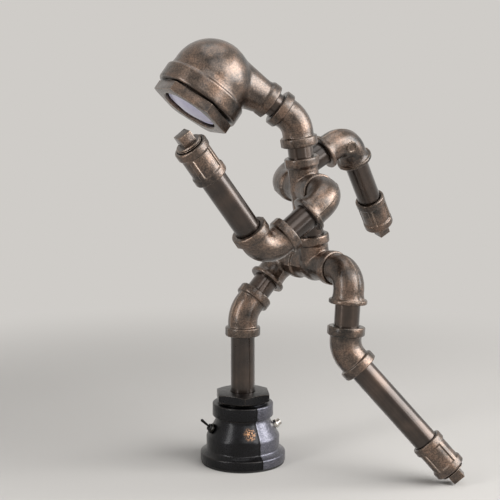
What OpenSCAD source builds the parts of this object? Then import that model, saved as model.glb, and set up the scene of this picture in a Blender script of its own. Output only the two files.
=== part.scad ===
// Desk lamp in the shape of a walking robot, built from half-inch pipe and malleable iron fittings.
// The origin is on the table under the standing leg. The robot walks along +X, its left is +Y, up is +Z.

/* [Pipe and threads] */
// Outer diameter of the half-inch pipe
pipe_d = 21.3; // [20.8:0.1:22]
// Wall of the pipe
pipe_wall = 2.6; // [2:0.1:3.2]
// Depth of a pipe socket, as far as a thread enters
thread_len = 13; // [10:0.5:14]
// Radial play between a pipe end and its socket
thread_play = 0.05; // [0.02:0.01:0.09]
// Space left between a pipe's end and the shoulder in its socket
end_gap = 0.4; // [0.2:0.1:1]

/* [Cast fittings] */
// Centre to face of a 90 degree elbow, a tee and a cross
elbow_face = 27; // [25:0.5:31]
// Centre to face of a 45 degree elbow
bend_face = 21; // [20:0.5:25]
// Outer diameter of a fitting between its collars
body_d = 26; // [25:0.5:28]
// Outer diameter of an elbow's collar
collar_d = 31; // [29:0.5:34]
// Outer diameter of the collars of the tee and the cross
cross_collar_d = 29.5; // [28.5:0.5:33]
// Width of a collar
collar_w = 8; // [6:0.5:10]
// Radius on the edges of collars and bands
edge_r = 1.3; // [0.5:0.1:2]
// Outer diameter of the thin lip that some elbows have in place of a collar
lip_d = 32.4; // [30:0.2:34]
// Width of that lip
lip_w = 3.4; // [2.8:0.2:5]
// Length of the flare behind that lip
lip_flare = 6; // [4:0.5:8]
// Straight neck of an elbow between its collar and its bend
neck_w = 3.5; // [2:0.5:5]
// How much thicker a straight neck is than the bend that it runs into
neck_swell = 0.15; // [0.1:0.05:0.4]
// How much thinner the side run of a cross is than its main run
side_relief = 0.2; // [0.1:0.1:1]
// Centre of the tee or cross to the centre of a street elbow screwed into it
branch_reach = 46.6; // [45:0.1:52]

/* [Hands and foot] */
// Length of a coupling
coupling_len = 32; // [28:1:38]
// Outer diameter of a coupling between its bands
coupling_d = 25; // [24.5:0.5:27]
// Outer diameter of a coupling's bands
coupling_band_d = 27.5; // [27:0.5:30]
// Width of a coupling's bands
coupling_band_w = 7; // [5:0.5:8]
// Width of the four ribs of a coupling
rib_w = 4; // [2:0.5:6]
// Stretch of a plug's thread that stays in sight
plug_bead = 2.6; // [1:0.1:5]
// Width across flats of a plug's square head
plug_square = 11; // [9:0.5:13]
// Height of a plug's square head
plug_head_h = 8.5; // [6:0.5:11]
// Chamfer on the corners of the square head
plug_corner = 1.1; // [0.5:0.1:2]

/* [Base] */
// Height of the reducing socket that is the base
base_h = 54; // [50:1:62]
// Outer diameter of the wide band at the foot of the base
base_band_d = 76.6; // [74:0.2:82]
// Height of the wide band
base_band_h = 10; // [8:0.5:12]
// Outer diameter of the base above the wide band
base_body_d = 66; // [64.5:0.5:70]
// Height from the wide band to the sloping shoulder
base_body_h = 15; // [13:0.5:17]
// Outer diameter of the narrow neck under the top band
base_neck_d = 48.6; // [47.5:0.1:52]
// Outer diameter of the top band
base_top_d = 55; // [52:0.5:60]
// Height of the straight neck between the shoulder and the top band
base_neck_h = 3; // [2:0.5:4]
// Height of the top band
base_top_h = 12; // [10:0.5:14]
// Diameter of the two-inch thread, in the base and in the head
big_thread_d = 60.3; // [60:0.1:61]
// Wall of the base between its bands
shell_wall = 3.6; // [3:0.1:4.5]
// Thickness of the rubber pad under the base
pad_t = 1.5; // [1:0.5:3]
// Diameter of the thread of the base's bushing
bushing_d = 42.2; // [41:0.1:42.4]
// Depth of the bushing's thread in the base
bushing_thread_h = 12; // [10:0.5:14]
// Width across flats of the base's bushing
bushing_af = 45; // [43:0.5:50]
// Height of the hexagon of the base's bushing
bushing_hex_h = 8; // [6:0.5:10]
// Thread that stays in sight under a hexagon
thread_gap = 2; // [1:0.5:3]

/* [Switch and cord inlet] */
// Direction of the switch around the base, from the walking direction
switch_turn = -15; // [-40:1:40]
// Direction of the cord inlet around the base, from the walking direction
inlet_turn = 153; // [120:1:200]
// Outer diameter of the switch's threaded neck
switch_neck_d = 5.9; // [5:0.1:6.5]
// Outer diameter of the switch's round nut
switch_nut_d = 9; // [8:0.5:11]
// Height of the switch's round nut
switch_nut_h = 2.2; // [1.5:0.1:3]
// How far the switch's neck stands out of the base
switch_out = 4; // [3.4:0.1:5]
// Width of the switch's housing
switch_box_w = 8; // [7:0.5:9]
// Length of the switch's housing
switch_box_l = 12; // [10:0.5:14]
// Depth of the switch's housing
switch_box_h = 9; // [7:0.5:10]
// Depth of the lever's pivot in the switch's neck
lever_root = 1.6; // [1.2:0.1:2]
// Length of the switch's lever outside its neck
lever_len = 10; // [7:0.5:13]
// Diameter of the lever's tip
lever_d = 2.6; // [2:0.1:3.2]
// Tilt of the lever to either side
lever_tilt = 12; // [8:1:14]
// Outer diameter of the cord inlet's bush
inlet_d = 8; // [7.5:0.5:9]
// Height of the bush's flange, and of the cone on it
inlet_h = 3; // [2:0.5:4]
// Diameter of the cord hole
cord_hole_d = 4.6; // [3.5:0.1:5]

/* [Legs] */
// Height of the standing knee above the table
knee_h = 135.4; // [125:0.2:150]
// Standing knee to the standing hip
right_thigh = 62.7; // [58:0.1:75]
// Walking hip to the walking knee
left_thigh = 66.9; // [60:0.1:72]
// Lean of the walking thigh from straight down
left_thigh_lean = -3.8; // [-8:0.1:0]
// Turn of the walking knee about its thigh
left_knee_turn = 141.6; // [130:0.1:150]

/* [Trunk and arms] */
// Lean of the trunk towards the walking direction
spine_lean = 9.9; // [5:0.1:14]
// Centre of the pelvis tee to the centre of the chest cross
spine_len = 68; // [62:0.5:80]
// Turn of the chest about the spine
chest_turn = -10.8; // [-20:0.1:0]
// Shoulder elbow to arm elbow
upper_arm = 74; // [64:0.5:84]
// Swing of the left arm from straight down
left_arm_swing = -61.8; // [-70:0.1:-50]
// Turn of the left arm's elbow
left_elbow_turn = 5.5; // [-5:0.1:15]
// Left elbow to the start of the hand
left_forearm = 82.4; // [72:0.1:92]
// Swing of the right arm from straight down
right_arm_swing = 111.4; // [100:0.1:120]
// Turn of the right arm's elbow
right_elbow_turn = -13.8; // [-25:0.1:0]
// Right elbow to the start of the hand
right_forearm = 71.4; // [62:0.1:80]

/* [Neck and head] */
// Centre of the chest cross to the centre of the neck elbow
neck_len = 57.5; // [54:0.1:66]
// Turn of the neck about the spine
neck_turn = -27.6; // [-40:0.1:-15]
// Neck elbow to the centre of the head
head_reach = 79.2; // [76:0.1:88]
// Turn of the head about the neck's upper end
head_turn = 14.2; // [5:0.1:25]
// Centre of the head to the face of its small collar
head_leg = 52.7; // [50:0.1:56]
// Centre of the head to the face of its wide band
head_face = 37.3; // [36:0.1:38.5]
// Centre of the head to the centre of its dome
dome_shift = 15.5; // [14:0.5:17]
// Reach of the leg's root from the centre of the head towards its collar
leg_shift = 4; // [2:0.5:8]
// Rise of the leg's root towards the wide band
leg_rise = 6.3; // [5:0.1:8]
// Radius of the leg at its root, inside the dome
leg_root_r = 23.3; // [20:0.1:24]
// Radius of the leg at its collar
leg_r = 13.2; // [12.8:0.1:14]
// Radius of the dome
dome_r = 34; // [33.5:0.1:35]
// Wall of the dome
dome_wall = 5; // [4:0.1:5.5]
// Outer diameter of the wide band of the head
head_band_d = 73.2; // [72:0.2:80]
// Width of the wide band of the head
head_band_w = 14.3; // [12.5:0.1:16]
// Thread that stays in sight between the head and the hexagon around the lamp
ring_gap = 1; // [0.5:0.1:3]
// Turn of that hexagon about the lamp
ring_turn = 18; // [0:1:59]
// Width across flats of the ring around the lamp
ring_af = 61; // [60.8:0.1:66]
// Height of the hexagon of the ring
ring_hex_h = 8.8; // [6:0.1:10]
// Depth of the ring's thread in the head
ring_thread_h = 13; // [11:0.5:14]
// Diameter of the opening in the ring
mouth_d = 48; // [45:0.5:50]

/* [Lamp] */
// Diameter of the lamp's lens
lens_d = 42; // [38:0.5:43]
// Depth of the lens's edge behind the ring's face
lens_recess = 5; // [3:0.5:8]
// Rise of the lens's dome
lens_rise = 4; // [2:0.5:5]
// Diameter of the lamp's cap
cap_d = 12; // [10:0.5:13]
// Outer diameter of the lamp holder
holder_d = 27; // [25:0.5:28]
// Length of the lamp holder
holder_len = 17; // [15:0.5:19]
// Floor that the lamp holder keeps behind the lamp's cap
holder_floor = 4; // [3:0.5:5]
// Thickness of the cup that carries the lamp holder
cup_t = 1.2; // [1:0.1:1.6]
// Diameter of the holder's screws
screw_d = 3; // [2.5:0.1:3.5]
// Diameter of the heads of the holder's screws
screw_head_d = 5; // [4.5:0.1:5.5]
// Height of the heads of the holder's screws
screw_head_h = 1.6; // [1:0.1:1.8]
// Reach of the screws into the holder
screw_reach = 5; // [4:0.5:8]

/* [Wiring] */
// Diameter of the twin lead inside the pipes
lead_d = 4.2; // [3:0.1:5]
// Width of the terminal block in the base
block_w = 18; // [14:1:24]
// Thickness of the terminal block in the base
block_t = 12; // [8:1:16]
// Height of the terminal block in the base
block_h = 14; // [10:1:18]

/* [Hidden] */
$fn = 64;

bronze = "#7a6654";
bronze_dark = "#5d4c40";
base_iron = "#3b3a3a";
steel = "#b9b6b0";
knee_bend = 45;
arm_bend = 90;
way_r = pipe_d / 2 - pipe_wall;
socket_r = pipe_d / 2 + thread_play;
past = 1;

// A lean or a turn as a matrix, to find which way a tilted piece hangs
function lean_y(a) = [[cos(a), 0, sin(a)], [0, 1, 0], [-sin(a), 0, cos(a)]];
function turn_z(a) = [[cos(a), -sin(a), 0], [sin(a), cos(a), 0], [0, 0, 1]];

pelvis = [-right_thigh * sin(knee_bend), branch_reach, knee_h + right_thigh * cos(knee_bend)];
left_knee_z = pelvis[2] - left_thigh * cos(left_thigh_lean);
shin_axes = lean_y(left_thigh_lean) * turn_z(left_knee_turn) * lean_y(-knee_bend);
shin_fall = shin_axes[2][2];
toe_down = atan2(-shin_axes[2][1], -shin_axes[2][0]);
toe_lift = 0.1;
head_edge = plug_square / 2 - plug_corner;
toe_reach = norm([plug_square / 2, head_edge]) * cos(45 - atan2(head_edge, plug_square / 2));
left_shin_len = (left_knee_z - toe_lift - toe_reach * norm([shin_axes[2][0], shin_axes[2][1]]))
                / shin_fall - plug_head_h - plug_bead - coupling_len;

hex_z = base_h + thread_gap;
stand_z = hex_z + bushing_hex_h;
shoulder_low_z = base_band_h + base_body_h;
shoulder_high_z = base_h - base_top_h - base_neck_h;
shoulder_tilt = atan2(shoulder_high_z - shoulder_low_z, (base_body_d - base_neck_d) / 2);
shoulder_mid = [(base_body_d + base_neck_d) / 4, (shoulder_low_z + shoulder_high_z) / 2];
fit_gap = 0.3;
neck_lap = 0.5;
core_swell = 2.4;

lever_pivot_z = switch_out - lever_root;
cavity_r = dome_r - dome_wall;
cup_z = head_face - ring_thread_h - cup_t;
cup_r = lens_d / 2 - 1.5;
holder_back_z = dome_shift - sqrt(cavity_r * cavity_r - holder_d * holder_d / 4) + 1;
cup_floor_z = holder_back_z + holder_len;
cup_depth = cup_z - cup_floor_z;
screw_inset = holder_d / 2 - screw_head_d / 2 - 0.7;
lens_edge = head_face + ring_gap + ring_hex_h - lens_recess;
inlet_stem_d = inlet_d - 2;

// ---- Frames: each puts its children in the place where a stretch of the robot starts ----

module pelvis_frame() translate(pelvis) children();

module chest_frame() {
  pelvis_frame() rotate([0, spine_lean, 0]) translate([0, 0, spine_len])
    rotate([0, 0, chest_turn]) children();
}

// A limb that hangs from a street elbow on the left (side = 1) or the right (side = -1)
module limb_frame(side, swing) {
  translate([0, side * branch_reach, 0]) rotate([0, swing, 0]) children();
}

// The lower stretch of a limb, past the elbow at the end of its upper stretch
module lower_frame(upper, turn, bend) {
  translate([0, 0, -upper]) rotate([0, 0, turn]) rotate([0, -bend, 0]) children();
}

module right_leg_frame() pelvis_frame() limb_frame(-1, -knee_bend) children();
module left_leg_frame() pelvis_frame() limb_frame(1, left_thigh_lean) children();
module left_arm_frame() chest_frame() limb_frame(1, left_arm_swing) children();
module right_arm_frame() chest_frame() limb_frame(-1, right_arm_swing) children();
module left_shin_frame() {
  left_leg_frame() lower_frame(left_thigh, left_knee_turn, knee_bend) children();
}
module left_forearm_frame() {
  left_arm_frame() lower_frame(upper_arm, left_elbow_turn, arm_bend) children();
}
module right_forearm_frame() {
  right_arm_frame() lower_frame(upper_arm, right_elbow_turn, arm_bend) children();
}
module neck_frame() {
  pelvis_frame() rotate([0, spine_lean, 0]) translate([0, 0, spine_len + neck_len])
    rotate([0, 0, neck_turn]) children();
}
module head_frame() {
  neck_frame() rotate([0, knee_bend, 0]) translate([0, 0, head_reach])
    rotate([0, 0, head_turn]) children();
}
// The way out of the head, along which the lamp shines
module lamp_frame() head_frame() rotate([0, 90, 0]) children();

// The middle of the base's sloping shoulder, with Z straight out of it
module shoulder_frame(turn) {
  rotate([0, 0, turn]) translate([shoulder_mid[0], 0, shoulder_mid[1]])
    rotate([0, shoulder_tilt, 0]) children();
}

// ---- Shapes that repeat ----

function arc_points(x, y, r, from, to) =
  [for (i = [0 : 3]) [x + r * cos(from + (to - from) * i / 3), y + r * sin(from + (to - from) * i / 3)]];

// A solid round band with rounded edges, standing on Z = 0
module band(d, w) {
  r = d / 2 - edge_r;
  rotate_extrude() polygon(concat([[0, 0]], arc_points(r, edge_r, edge_r, -90, 0),
                                  arc_points(r, w - edge_r, edge_r, 0, 90), [[0, w]]));
}

// A thin lip with a flare behind it, standing on Z = 0
module lip() {
  band(lip_d, lip_w);
  translate([0, 0, lip_w - edge_r]) cylinder(d1 = lip_d - edge_r, d2 = body_d, h = lip_flare);
}

// The open end of an elbow: a lip or a collar
module socket_end(lips) if (lips) lip(); else band(collar_d, collar_w);

// A stretch of a bent tube between an inlet along -Z and an outlet turned from +Z towards +X
module bent_rod(r, bend_r, bend) {
  translate([bend_r, 0, -bend_r * tan(bend / 2)]) rotate([90, 0, 180])
    rotate_extrude(angle = bend) translate([bend_r, 0]) circle(r);
}

// Turns a leg that points along -Z into the outlet of a bend
module outlet(bend) rotate([0, bend, 0]) mirror([0, 0, 1]) children();

// A straight neck that laps over the end of a bend, from one distance down to another
module neck(r, from, to) translate([0, 0, -from]) cylinder(r = r + neck_swell, h = from - to + neck_lap);

// Distance from the centre of an elbow to the start of its bend
function bend_start(face) = face - collar_w - neck_w;

// An elbow. With male_len its inlet is a thread of that reach, and otherwise a socket.
module pipe_elbow(bend, face, lips = false, male_len = 0) {
  start = bend_start(face);
  bend_r = start / tan(bend / 2);
  root = male_len > 0 ? branch_reach - face - fit_gap : face - edge_r;
  difference() {
    union() {
      bent_rod(body_d / 2, bend_r, bend);
      neck(body_d / 2, root, start);
      outlet(bend) neck(body_d / 2, face - edge_r, start);
      outlet(bend) translate([0, 0, -face]) socket_end(lips);
      if (male_len > 0) translate([0, 0, -male_len]) cylinder(d = pipe_d, h = male_len - root + neck_lap);
      else translate([0, 0, -face]) socket_end(lips);
    }
    bent_rod(way_r, bend_r, bend);
    neck(way_r, max(male_len, face) + past, start);
    outlet(bend) neck(way_r, face + past, start);
    outlet(bend) translate([0, 0, -face - past]) cylinder(r = socket_r, h = thread_len + past);
    if (male_len == 0) translate([0, 0, -face - past]) cylinder(r = socket_r, h = thread_len + past);
  }
}

module street_elbow() {
  pipe_elbow(arm_bend, elbow_face, true, branch_reach - elbow_face + thread_len - end_gap);
}

// Turns an elbow so that its inlet points at the trunk and its outlet down the limb
module root_turn(side) rotate([-90 * side, 0, 0]) rotate([0, 0, 90 * side]) children();
module limb_root(side) root_turn(side) street_elbow();

// An elbow at the end of a limb's upper stretch
module limb_elbow(upper, turn, bend, face, lips = false) {
  translate([0, 0, -upper]) rotate([0, 0, turn]) rotate([180, 0, 0]) pipe_elbow(bend, face, lips);
}

// A tee or a cross, with a socket at each of the given turns about X from +Z
module branch_fitting(turns) {
  difference() {
    union() {
      for (a = turns) rotate([a, 0, 0]) {
        cylinder(r = arm_r(a, body_d / 2), h = elbow_face - edge_r);
        translate([0, 0, elbow_face - collar_w]) band(cross_collar_d, collar_w);
      }
      sphere(d = body_d + core_swell);
    }
    for (a = turns) rotate([a, 0, 0]) {
      cylinder(r = arm_r(a, way_r), h = elbow_face + past);
      translate([0, 0, elbow_face - thread_len]) cylinder(r = socket_r, h = thread_len + past);
    }
    sphere(r = way_r + side_relief);
  }
}
// The side run is a little thinner than the main run
function arm_r(turn, r) = abs(cos(turn)) > 0.5 ? r : r - side_relief;

// A pipe along -Z between two distances from the frame's start
module pipe_run(from, to) {
  translate([0, 0, -to]) difference() {
    cylinder(d = pipe_d, h = to - from);
    translate([0, 0, -past]) cylinder(r = way_r, h = to - from + 2 * past);
  }
}

// A pipe between two fittings whose faces lie at the given distances
module nipple(from, to) pipe_run(from - thread_len + end_gap, to + thread_len - end_gap);

// A coupling along -Z that starts at the given distance
module coupling(start) {
  translate([0, 0, -start - coupling_len]) difference() {
    union() {
      cylinder(d = coupling_d, h = coupling_len);
      for (z = [0, coupling_len - coupling_band_w])
        translate([0, 0, z]) band(coupling_band_d, coupling_band_w);
      for (a = [45 : 90 : 315]) rotate([0, 0, a])
        translate([0, -rib_w / 2, coupling_band_w / 2])
          cube([coupling_band_d / 2 - side_relief, rib_w, coupling_len - coupling_band_w]);
    }
    translate([0, 0, -past]) cylinder(r = way_r, h = coupling_len + 2 * past);
    translate([0, 0, -past]) cylinder(r = socket_r, h = thread_len + past);
    translate([0, 0, coupling_len - thread_len]) cylinder(r = socket_r, h = thread_len + past);
  }
}

// A plug with a square head in the end of a coupling that starts at the given distance
module plug(start, turn) {
  face = start + coupling_len;
  edge = plug_square / 2;
  rotate([0, 0, turn]) translate([0, 0, -face - plug_bead]) {
    cylinder(d = pipe_d, h = plug_bead + thread_len - end_gap);
    translate([0, 0, -plug_head_h]) linear_extrude(plug_head_h)
      polygon([for (a = [45 : 90 : 315], s = [-head_edge, head_edge])
               [cos(a) * edge - sin(a) * s, sin(a) * edge + cos(a) * s]]);
  }
}

module hexagon(af, h) cylinder(d = af / cos(30), h = h, $fn = 6);

// ---- Base ----

module base_pad() color("#222222") cylinder(d = base_band_d - 2 * edge_r, h = pad_t);

module base_reducer() {
  r_foot = base_band_d / 2;
  r_body = base_body_d / 2;
  r_neck = base_neck_d / 2;
  r_top = base_top_d / 2;
  r_bore = bushing_d / 2 + thread_play;
  flare = 4;
  slope_drop = 1;
  color(base_iron) difference() {
    rotate_extrude() polygon(concat(
      [[0, pad_t]], arc_points(r_foot - edge_r, pad_t + edge_r, edge_r, -90, 0),
      arc_points(r_foot - edge_r, base_band_h - edge_r, edge_r, 0, 90),
      arc_points(r_body + flare / 2, base_band_h + flare, flare / 2, 225, 180),
      [[r_body, shoulder_low_z], [r_neck, shoulder_high_z], [r_neck, base_h - base_top_h]],
      arc_points(r_top - edge_r, base_h - base_top_h + edge_r, edge_r, -90, 0),
      arc_points(r_top - edge_r, base_h - edge_r, edge_r, 0, 90), [[0, base_h]]));
    translate([0, 0, pad_t - past]) cylinder(d = big_thread_d, h = base_band_h + past);
    rotate_extrude() polygon([[0, pad_t], [r_body - shell_wall, pad_t],
                              [r_body - shell_wall, shoulder_low_z - slope_drop],
                              [r_bore, shoulder_high_z - slope_drop], [0, shoulder_high_z - slope_drop]]);
    translate([0, 0, shoulder_high_z - slope_drop - past]) cylinder(r = r_bore, h = base_h);
    for (hole = [[switch_turn, switch_neck_d], [inlet_turn, inlet_stem_d]])
      shoulder_frame(hole[0]) translate([0, 0, -shell_wall * 2])
        cylinder(d = hole[1] + 2 * thread_play, h = shell_wall * 3);
  }
}

module base_bushing() {
  color(base_iron) difference() {
    union() {
      translate([0, 0, hex_z]) hexagon(bushing_af, bushing_hex_h);
      translate([0, 0, base_h - bushing_thread_h]) cylinder(d = bushing_d, h = bushing_thread_h + thread_gap);
    }
    translate([0, 0, base_h - bushing_thread_h - past]) cylinder(r = way_r, h = stand_z);
    translate([0, 0, stand_z - thread_len]) cylinder(r = socket_r, h = thread_len + past);
  }
}

module terminal_block() {
  color("#e4e0d6") translate([-block_w / 2, -block_t / 2, pad_t]) cube([block_w, block_t, block_h]);
}

// ---- Cord inlet and switch ----

module cord_inlet() {
  color(steel) shoulder_frame(inlet_turn) difference() {
    union() {
      cylinder(d = inlet_d, h = inlet_h);
      translate([0, 0, -shell_wall * 2.5]) cylinder(d = inlet_stem_d, h = shell_wall * 2.5 + past);
      translate([0, 0, inlet_h - past])
        cylinder(d1 = inlet_stem_d + 0.5, d2 = inlet_stem_d, h = inlet_h + past);
    }
    translate([0, 0, -shell_wall * 3]) cylinder(d = cord_hole_d, h = shell_wall * 6);
  }
}

module inlet_nut() {
  color(steel) shoulder_frame(inlet_turn) translate([0, 0, -shell_wall * 2]) difference() {
    hexagon(inlet_d + 2, shell_wall * 2 / 3);
    translate([0, 0, -past]) cylinder(d = inlet_stem_d + 2 * thread_play, h = shell_wall + past);
  }
}

module switch_body() {
  cup_play = 0.8;
  lip = 0.4;
  back = shell_wall * 2;
  color("#8c2f2a") shoulder_frame(switch_turn) difference() {
    union() {
      translate([0, 0, -back]) cylinder(d = switch_neck_d, h = back + switch_out);
      translate([-switch_box_w / 2, -switch_box_l / 2, -back - switch_box_h])
        cube([switch_box_w, switch_box_l, switch_box_h]);
    }
    translate([0, 0, lever_pivot_z]) {
      sphere(d = lever_d + 2 * cup_play);
      cylinder(d1 = lever_d + cup_play, d2 = switch_neck_d - 2 * lip, h = lever_root + 0.01);
    }
  }
}

module switch_nut() {
  color(steel) shoulder_frame(switch_turn) difference() {
    cylinder(d = switch_nut_d, h = switch_nut_h);
    translate([0, 0, -past]) cylinder(d = switch_neck_d + 2 * thread_play, h = switch_nut_h + 2 * past);
  }
}

module switch_lever() {
  tip_z = lever_root + lever_len - lever_d / 2;
  color(steel) shoulder_frame(switch_turn) translate([0, 0, lever_pivot_z]) rotate([0, -lever_tilt, 0]) {
    sphere(d = lever_d);
    cylinder(d1 = lever_d * 0.62, d2 = lever_d * 0.9, h = tip_z);
    translate([0, 0, tip_z]) sphere(d = lever_d);
  }
}

// From the terminal block to the back of the switch, clear of both by half a wire
module switch_lead() {
  wire_d = lead_d / 2;
  back = shell_wall * 2 + switch_box_h + wire_d / 4;
  start = [block_w / 4, pad_t + block_h + wire_d / 2];
  end = [shoulder_mid[0] - back * sin(shoulder_tilt), shoulder_mid[1] - back * cos(shoulder_tilt)];
  way = end - start;
  color("#d8d4cc") rotate([0, 0, switch_turn]) translate([start[0], 0, start[1]])
    rotate([0, atan2(way[0], way[1]), 0]) cylinder(d = wire_d, h = norm(way));
}

// ---- Legs ----

module right_shin() color(bronze) right_leg_frame() lower_frame(right_thigh, 180, knee_bend)
  nipple(bend_face, knee_h - stand_z);
module right_knee() color(bronze_dark) right_leg_frame() limb_elbow(right_thigh, 180, knee_bend, bend_face);
module right_thigh_pipe() color(bronze) right_leg_frame() nipple(elbow_face, right_thigh - bend_face);
module right_hip() color(bronze_dark) right_leg_frame() limb_root(-1);
module pelvis_tee() color(bronze_dark) pelvis_frame() rotate([0, spine_lean, 0]) branch_fitting([0, 90, -90]);
module left_hip() color(bronze_dark) left_leg_frame() limb_root(1);
module left_thigh_pipe() color(bronze) left_leg_frame() nipple(elbow_face, left_thigh - bend_face);
module left_knee() {
  color(bronze_dark) left_leg_frame() limb_elbow(left_thigh, left_knee_turn, knee_bend, bend_face);
}
module left_shin() color(bronze) left_shin_frame() nipple(bend_face, left_shin_len);
module left_foot() color(bronze) left_shin_frame() coupling(left_shin_len);
module left_toe_plug() color(bronze_dark) left_shin_frame() plug(left_shin_len, toe_down);

// ---- Trunk and arms ----

module spine_pipe() color(bronze) chest_frame() nipple(elbow_face, spine_len - elbow_face);
module chest_cross() color(bronze_dark) chest_frame() branch_fitting([0, 90, 180, 270]);
module neck_pipe() color(bronze) chest_frame() rotate([180, 0, 0]) nipple(elbow_face, neck_len - bend_face);

module left_shoulder() color(bronze_dark) left_arm_frame() limb_root(1);
module left_upper_arm() color(bronze) left_arm_frame() nipple(elbow_face, upper_arm - elbow_face);
module left_elbow() {
  color(bronze_dark) left_arm_frame() limb_elbow(upper_arm, left_elbow_turn, arm_bend, elbow_face);
}
module left_forearm_pipe() color(bronze) left_forearm_frame() nipple(elbow_face, left_forearm);
module left_hand() color(bronze) left_forearm_frame() coupling(left_forearm);
module left_hand_plug() color(bronze_dark) left_forearm_frame() plug(left_forearm, 0);

module right_shoulder() color(bronze_dark) right_arm_frame() limb_root(-1);
module right_upper_arm() color(bronze) right_arm_frame() nipple(elbow_face, upper_arm - elbow_face);
module right_elbow() {
  color(bronze_dark) right_arm_frame() limb_elbow(upper_arm, right_elbow_turn, arm_bend, elbow_face, true);
}
module right_forearm_pipe() color(bronze) right_forearm_frame() nipple(elbow_face, right_forearm);
module right_hand() color(bronze) right_forearm_frame() coupling(right_forearm);
module right_hand_plug() color(bronze_dark) right_forearm_frame() plug(right_forearm, 0);

// ---- Neck and head ----

module neck_elbow() color(bronze_dark) neck_frame() pipe_elbow(knee_bend, bend_face);
module head_pipe() color(bronze) head_frame() nipple(head_leg, head_reach - bend_face);

module head_elbow() {
  throat_w = 0.4;
  leg_way = [head_leg - collar_w / 2 - leg_shift, -leg_rise];
  color(bronze_dark) difference() {
    union() {
      lamp_frame() {
        translate([0, 0, dome_shift]) sphere(r = dome_r);
        translate([0, 0, dome_shift - past])
          cylinder(r = dome_r + throat_w, h = head_face - head_band_w - dome_shift + 2 * past);
        translate([0, 0, head_face - head_band_w]) band(head_band_d, head_band_w);
        translate([leg_shift, 0, leg_rise]) rotate([0, atan2(leg_way[0], leg_way[1]), 0])
          cylinder(r1 = leg_root_r, r2 = leg_r, h = norm(leg_way));
      }
      head_frame() translate([0, 0, -head_leg]) band(collar_d, collar_w);
    }
    lamp_frame() {
      translate([0, 0, dome_shift]) sphere(r = cavity_r);
      translate([0, 0, cup_z]) cylinder(d = big_thread_d, h = head_face);
    }
    head_frame() translate([0, 0, -head_leg]) cylinder(r = way_r, h = head_leg);
    head_frame() translate([0, 0, -head_leg - past]) cylinder(r = socket_r, h = thread_len + past);
  }
}

module head_ring() {
  color(bronze) lamp_frame() difference() {
    union() {
      translate([0, 0, head_face + ring_gap]) rotate([0, 0, ring_turn]) hexagon(ring_af, ring_hex_h);
      translate([0, 0, head_face - ring_thread_h])
        cylinder(d = big_thread_d - 2 * thread_play, h = ring_thread_h + ring_gap + neck_lap);
    }
    translate([0, 0, head_face - ring_thread_h - past])
      cylinder(d = mouth_d, h = ring_thread_h + ring_gap + ring_hex_h + 2 * past);
  }
}

module holder_screw_places() {
  for (s = [-1, 1]) translate([0, s * screw_inset, cup_floor_z]) children();
}

// A cup that the ring clamps against the shoulder in the head, with the lamp holder under its floor
module holder_cup() {
  color(steel) lamp_frame() difference() {
    union() {
      translate([0, 0, cup_z]) cylinder(d = big_thread_d - 2 * thread_play, h = cup_t);
      translate([0, 0, cup_floor_z]) cylinder(r = cup_r + cup_t, h = cup_depth + cup_t);
    }
    translate([0, 0, cup_floor_z + cup_t]) cylinder(r = cup_r, h = cup_depth + past);
    translate([0, 0, cup_floor_z - past]) cylinder(d = cap_d + 1, h = cup_depth);
    holder_screw_places() translate([0, 0, -past])
      cylinder(d = screw_d + 2 * thread_play, h = cup_t + 2 * past);
  }
}

module holder_screws() {
  color(steel) lamp_frame() holder_screw_places() {
    translate([0, 0, -screw_reach]) cylinder(d = screw_d, h = screw_reach + cup_t);
    translate([0, 0, cup_t]) cylinder(d = screw_head_d, h = screw_head_h);
  }
}

module lamp_holder() {
  color("#e9e4d8") lamp_frame() difference() {
    translate([0, 0, holder_back_z]) cylinder(d = holder_d, h = holder_len);
    translate([0, 0, holder_back_z + holder_floor]) cylinder(d = cap_d + 2 * fit_gap, h = holder_len);
    holder_screw_places() translate([0, 0, -screw_reach - past])
      cylinder(d = screw_d + 2 * thread_play, h = screw_reach + 2 * past);
  }
}

// The lamp rests on its cap in the holder and widens up to its lens
module lamp_body() {
  shell_z = cup_floor_z + cup_t + screw_head_h + fit_gap;
  rim_h = 4;
  color("#dcd9d2") lamp_frame() rotate_extrude() polygon([
    [0, holder_back_z + holder_floor], [cap_d / 2, holder_back_z + holder_floor], [cap_d / 2, shell_z],
    [cap_d * 3 / 4, shell_z + cup_t], [cup_r - 1, cup_z], [lens_d / 2, lens_edge - rim_h],
    [lens_d / 2, lens_edge], [0, lens_edge]]);
}

// The lens is a cap cut from a ball, on the front of the lamp
module lamp_lens() {
  rim_r = lens_d / 2 - 1;
  ball_r = (rim_r * rim_r + lens_rise * lens_rise) / (2 * lens_rise);
  rim_a = acos(rim_r / ball_r);
  color("#cfcde2") lamp_frame() translate([0, 0, lens_edge + lens_rise - ball_r]) rotate_extrude()
    polygon(concat([[0, ball_r - lens_rise]],
                   [for (i = [0 : 6]) let (a = rim_a + (90 - rim_a) * i / 6) ball_r * [cos(a), sin(a)]]));
}

// ---- Leads inside the pipes, which end a little short of each swivel ----

module lead_run(from, to) translate([0, 0, -to]) cylinder(d = lead_d, h = to - from);

module lead_corner() sphere(d = lead_d + 2 * neck_swell);

// From the terminal block up the standing leg and the trunk, to the neck
module stand_lead() {
  start = bend_start(elbow_face);
  color("#d8d4cc") {
    translate([0, 0, pad_t + block_h]) cylinder(d = lead_d, h = knee_h - pad_t - block_h);
    translate([0, 0, knee_h]) lead_corner();
    right_leg_frame() {
      lead_run(start + neck_lap, right_thigh);
      root_turn(-1) {
        bent_rod(lead_d / 2, start, arm_bend);
        neck(lead_d / 2, branch_reach, start);
        outlet(arm_bend) neck(lead_d / 2, start + 2 * neck_lap, start);
      }
    }
    pelvis_frame() {
      lead_corner();
      rotate([180, spine_lean, 0]) lead_run(0, spine_len + neck_len - bend_face + thread_len);
    }
  }
}

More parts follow.
